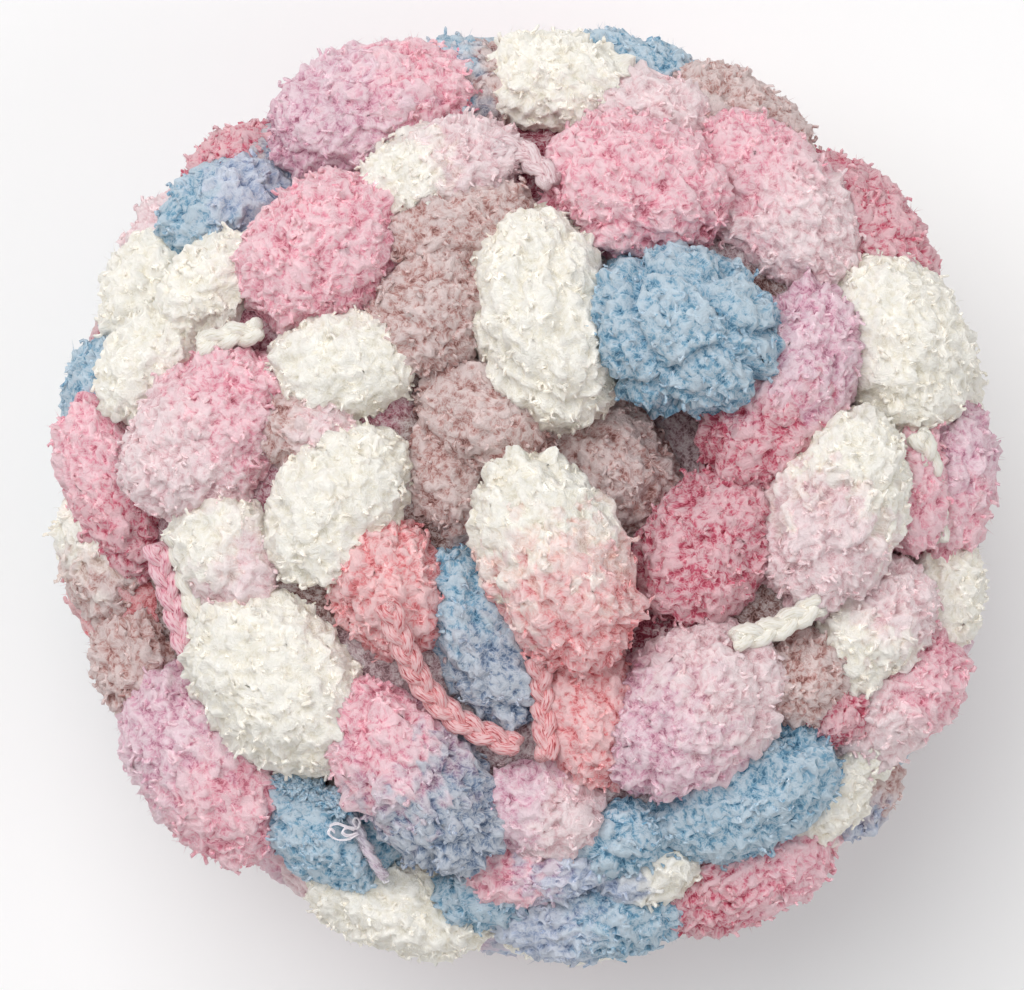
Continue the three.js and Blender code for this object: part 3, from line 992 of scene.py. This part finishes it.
def dye_with_painted_light(tree, rise):
    """The dye at a point, darkened by painted shade at the pile's roots, pure above them and paled by a
    painted highlight at its tips, by how far up the point is."""
    dye = node(tree, "ShaderNodeAttribute", attribute_name="dye")
    paleness = node(tree, "ShaderNodeRGBToBW", [(dye.outputs["Color"], "Color")])
    strength, shade = (
        node(
            tree, "ShaderNodeMapRange", [(paleness.outputs["Val"], "Value")],
            {"From Min": STRONG_GREY, "From Max": PALE_GREY, "To Min": of_strong, "To Max": of_pale},
        )
        for of_strong, of_pale in (PAINTED_SHADE_GAMMAS, PAINTED_SHADE_DARKENINGS)
    )
    # Painted shade: the dye taken through a gamma, then darkened towards black
    gamma_shaded_dye = node(
        tree, "ShaderNodeGamma", [(dye.outputs["Color"], "Color"), (strength.outputs["Result"], "Gamma")],
    )
    deep = node(
        tree, "ShaderNodeMix", [(shade.outputs["Result"], "Factor"), (gamma_shaded_dye.outputs["Color"], "A")],
        {"B": (0, 0, 0, 1)},
        data_type="RGBA",
    )
    low, high = (
        node(
            tree, "ShaderNodeMapRange", [(rise, "Value")],
            {"From Min": begin, "From Max": end, "To Min": 0, "To Max": share},
        )
        for begin, end, share in ((0, PURE_LEVEL, 1), (PURE_LEVEL, 1, PAINTED_TIP_HIGHLIGHT))
    )
    body = node(
        tree,
        "ShaderNodeMix",
        [(low.outputs["Result"], "Factor"), (deep.outputs["Result"], "A"), (dye.outputs["Color"], "B")],
        data_type="RGBA",
    )
    # Painted highlight: the dye paled towards white at the highest levels
    return node(
        tree, "ShaderNodeMix", [(high.outputs["Result"], "Factor"), (body.outputs["Result"], "A")],
        {"B": (1, 1, 1, 1)},
        data_type="RGBA",
    )


def new_finish(name):
    material = bpy.data.materials.new(name)
    material.use_nodes = True
    return material, material.node_tree, material.node_tree.nodes["Principled BSDF"]


def cloth_finish(tree, shader, rise, height, depth):
    """Polyester microfibre: matt, with the faint bloom of loose fibre ends, painted with shade and highlight
    by how far up the pile each point is, and its pattern's height given as a bump of the given depth."""
    mixed = dye_with_painted_light(tree, rise)
    relief = {"Strength": PATTERN_BUMP, "Distance": depth * MM}
    bump = node(tree, "ShaderNodeBump", [(height, "Height")], relief)
    tree.links.new(mixed.outputs["Result"], shader.inputs["Base Color"])
    tree.links.new(bump.outputs["Normal"], shader.inputs["Normal"])
    shader.inputs["Roughness"].default_value = 0.95
    shader.inputs["Specular IOR Level"].default_value = 0.08
    shader.inputs["Sheen Weight"].default_value = 0.1
    shader.inputs["Sheen Roughness"].default_value = 0.6
    shader.subsurface_method = "BURLEY"
    shader.inputs["Subsurface Weight"].default_value = 0.6
    shader.inputs["Subsurface Radius"].default_value = (1, 0.9, 0.85)
    shader.inputs["Subsurface Scale"].default_value = SCATTER_MM * MM


def microfibre_pile():
    """Space-dyed polyester microfibre, cut into soft pile: quite matt, with a faint bloom of loose
    fibre ends, its tips paled by a painted highlight and its creases darkened in their own dye by painted
    shade."""
    material, tree, shader = new_finish("polyester_microfibre_cut_pile")
    fibre = node(tree, "ShaderNodeAttribute", attribute_name="fibre")
    crumb = node(
        tree, "ShaderNodeTexVoronoi", [(fibre.outputs["Vector"], "Vector")],
        {"Scale": 1 / CRUMB_MM, "Detail": 0},
    )
    clump = node(
        tree, "ShaderNodeMapRange", [(crumb.outputs["Distance"], "Value")],
        {"From Min": CRUMB_SPAN[0], "From Max": CRUMB_SPAN[1], "To Min": CRUMB_SHARE, "To Max": 0},
        interpolation_type="SMOOTHSTEP",
    )
    # The noise crosses its middle along winding lines, which become the ridges of fine curls
    winding = node(
        tree, "ShaderNodeTexNoise", [(fibre.outputs["Vector"], "Vector")],
        {"Scale": 1 / FLUFF_MM, "Detail": 1, "Roughness": 0.6},
    )
    from_middle = node(
        tree, "ShaderNodeMath", [(winding.outputs["Fac"], 0)], {1: 0.5}, operation="SUBTRACT"
    )
    folded = node(tree, "ShaderNodeMath", [(from_middle.outputs["Value"], 0)], operation="ABSOLUTE")
    curls = node(
        tree, "ShaderNodeMapRange", [(folded.outputs["Value"], "Value")],
        {"From Min": 0, "From Max": CURL_SPAN, "To Min": CURL_SHARE, "To Max": 0},
        interpolation_type="SMOOTHSTEP",
    )
    height = node(
        tree, "ShaderNodeMath", [(clump.outputs["Result"], 0), (curls.outputs["Result"], 1)],
        operation="ADD",
    )
    tip = node(tree, "ShaderNodeAttribute", attribute_name="tip")
    # Painted shade in the crumb's hollows and painted highlight on its crests, added to the level
    level = node(
        tree, "ShaderNodeMath", [(height.outputs["Value"], 0), (tip.outputs["Fac"], 2)],
        {1: PATTERN_LEVEL},
        operation="MULTIPLY_ADD",
    )
    rise = node(
        tree, "ShaderNodeMapRange", [(level.outputs["Value"], "Value")],
        {"From Min": 0, "From Max": HIGHEST_LEVEL},
        interpolation_type="SMOOTHSTEP",
    )
    cloth_finish(tree, shader, rise.outputs["Result"], height.outputs["Value"], PILE_BUMP_MM)
    return material


def plaited_microfibre():
    """The same dyed microfibre, spun into strands for the plait: its fibres run along each strand."""
    material, tree, shader = new_finish("spun_polyester_plait")
    fibre = node(tree, "ShaderNodeAttribute", attribute_name="fibre")
    strands = node(
        tree, "ShaderNodeMapping", [(fibre.outputs["Vector"], "Vector")],
        {"Scale": (1 / FIBRE_MM, 1 / FIBRE_MM, FIBRE_STRETCH / FIBRE_MM)},
    )
    grain = node(
        tree, "ShaderNodeTexNoise", [(strands.outputs["Vector"], "Vector")],
        {"Scale": 1, "Detail": 2, "Distortion": 0.6},
    )
    rise = node(
        tree, "ShaderNodeMapRange", [(grain.outputs["Fac"], "Value")],
        {"From Min": GRAIN_SPAN[0], "From Max": GRAIN_SPAN[1]},
    )
    cloth_finish(tree, shader, rise.outputs["Result"], grain.outputs["Fac"], PLAIT_BUMP_MM)
    return material


def pale_floor():
    """Painted board, rolled on: a plain matt studio floor."""
    material, _, shader = new_finish("matt_painted_board")
    shader.inputs["Base Color"].default_value = (0.97, 0.97, 0.97, 1)
    shader.inputs["Roughness"].default_value = 0.9
    return material


PILE = microfibre_pile()
PLAIT = plaited_microfibre()


def finish_piece(obj, material, node_name):
    obj.data.materials.append(material)
    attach(obj, "root")
    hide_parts(node_name)


def cover_hidden_end(pile, rng):
    """The blue pompom's curls, which lie over the hidden stretch of the loose end."""
    path, _ = smooth_path(LOOSE_END[:HIDDEN_POINTS], LOOSE_STEP)
    _, side, up = path_frames(path)
    count = COVER_CURLS
    at = rng.integers(0, len(path), count)
    roots = path[at] + side[at] * rng.uniform(-COVER_ASIDE, COVER_ASIDE, (count, 1)) + COVER_UP * up[at]
    lay = unit(up[at] + rng.normal(0, SINGLE_LEAN, (count, 3)))
    size = CURL_SIZE * rng.uniform(*COVER_SIZES, count)
    for template, picked in ((HOOK, slice(0, None, 2)), (WISP, slice(1, None, 2))):
        sizes = size[picked]
        dyes = np.tile(DYE["blue"], (len(sizes), 1))
        painted_light_levels = rng.uniform(*COVER_LEVELS, count)[picked]
        pile.add_copies(template, roots[picked], lay[picked], sizes, sizes, dyes, painted_light_levels, rng)


def build_frayed_loops():
    """Fine fibres of the loose end that have frayed out of it in loops."""
    rng = np.random.default_rng(78)
    pile = Pile()
    for points in FRAYED_LOOPS:
        loop, along = smooth_path(points, LOOSE_STEP)
        dyes = np.tile(LOOP_DYE, (len(loop), 1))
        for _ in range(LOOP_STRANDS):
            shift = rng.normal(0, LOOP_RADIUS, (1, 3))
            add_strand(pile, loop + shift, along, np.full(len(loop), LOOP_RADIUS), LOOP_SIDES, dyes, rng)
    loops = pile.mesh_object("loose_end_frayed_loops")
    finish_piece(loops, PLAIT, "loose_end")
    return loops


def build_loose_end():
    """The loose end: a fuzzy chenille thread of two plies, with its frayed loops."""
    rng = np.random.default_rng(77)
    pile = Pile()
    path, run = smooth_path(LOOSE_END, LOOSE_STEP)
    shown = np.clip(2 * (run / run[-1] - HIDDEN_POINTS / len(LOOSE_END)) + 0.5, 0, 1)[:, None]
    dyes = DYE["blue"] * (1 - shown) + LOOSE_DYE * shown
    _, side, up = path_frames(path)
    for ply in range(PLIES):
        turn = 2 * math.pi * run / PLY_PITCH + ply * math.pi
        middle = path + PLY_SWING * (np.cos(turn)[:, None] * side + np.sin(turn)[:, None] * up)
        add_strand(pile, middle, run, np.full(len(path), PLY_RADIUS), PLY_SIDES, dyes, rng)
    count = NAP_FIBRES
    at = rng.integers(0, len(path), count)
    turn = rng.uniform(0, 2 * math.pi, count)
    outward = np.cos(turn)[:, None] * side[at] + np.sin(turn)[:, None] * up[at]
    ways = unit(outward + rng.normal(0, NAP_LEAN, (count, 3)))
    roots = path[at] + NAP_FROM * outward
    widths = np.full(count, NAP_WIDTH)
    lengths = rng.uniform(*NAP_LENGTHS, count)
    pile.add_copies(FIBRE, roots, ways, widths, lengths, dyes[at], np.ones(count), rng)
    end = pile.mesh_object("loose_end_thread")
    finish_piece(end, PLAIT, "loose_end")
    build_frayed_loops()


build_loose_end()

FACE_TURNS = {
    "rim_turn_pile": face_pompoms(RIM_TURN),
    "outer_turn_pile": face_pompoms(OUTER_TURN),
    "middle_turn_pile": face_pompoms(MIDDLE_TURN),
    "inner_turn_pile": face_pompoms(INNER_TURN),
}
SIDE_TURNS = {
    f"side_row_{k + 1}_pile": side_pompoms(row, SIDE_ROW_DYES * k) for k, row in enumerate(SIDE_ROWS)
}
UNDER_TURNS = {
    "under_turns_pile": [
        pompom
        for k, ring in enumerate(UNDER_RINGS)
        for pompom in under_pompoms(ring, UNDER_RING_DYES * k)
    ],
}
ALL_TURNS = {**FACE_TURNS, **SIDE_TURNS, **UNDER_TURNS}
ALL_POMPOMS = [pompom for turn in ALL_TURNS.values() for pompom in turn]


def pile_for(name):
    if name in FACE_TURNS:
        return FACE_PILE
    return SIDE_PILE if name in SIDE_TURNS else UNDER_PILE


for seed, (name, turn) in enumerate(ALL_TURNS.items()):
    rng = np.random.default_rng(1000 + seed)
    pile = Pile()
    for pompom in turn:
        add_pompom(pile, pompom, ALL_POMPOMS, pile_for(name), rng)
    piece = pile.mesh_object(name)
    finish_piece(piece, PILE, "wound_ball")

core_pile = Pile()
add_core(core_pile, np.random.default_rng(5))
cover_hidden_end(core_pile, np.random.default_rng(6))
core = core_pile.mesh_object("inner_turns_pile")
finish_piece(core, PILE, "wound_ball")

cord_pile = Pile()
for seed, (dye, points) in enumerate(CORD_RUNS):
    add_plait(cord_pile, dye, points, np.random.default_rng(50 + seed))
cords = cord_pile.mesh_object("joining_cords")
finish_piece(cords, PLAIT, "wound_ball")


# The studio, in metres and watts
FLOOR_SIZE = 6
KEY_LIGHT = dict(location=(-0.6, 0.8, 1.7), size=1.8, power=24)
FILL_LIGHT = dict(location=(1.2, -0.6, 1.3), size=1.4, power=5)
WORLD_STRENGTH = 0.5


def build_stage():
    deselect_all()
    bpy.ops.mesh.primitive_plane_add(size=FLOOR_SIZE, location=(0, 0, 0))
    floor = bpy.context.object
    floor.name = "floor"
    floor.data.materials.append(pale_floor())


def area_light(name, location, size, power):
    data = bpy.data.lights.new(name, "AREA")
    data.shape = "DISK"
    data.size = size
    data.energy = power
    light = bpy.data.objects.new(name, data)
    light.location = location
    light.rotation_euler = (-Vector(location)).to_track_quat("-Z", "Y").to_euler()
    bpy.context.collection.objects.link(light)


def build_light():
    area_light("key", **KEY_LIGHT)
    area_light("fill", **FILL_LIGHT)
    world = bpy.data.worlds.new("studio")
    world.use_nodes = True
    background = world.node_tree.nodes["Background"]
    background.inputs["Color"].default_value = (1, 1, 1, 1)
    background.inputs["Strength"].default_value = WORLD_STRENGTH
    bpy.context.scene.world = world
    bpy.context.scene.view_settings.view_transform = "Standard"


build_stage()
build_light()
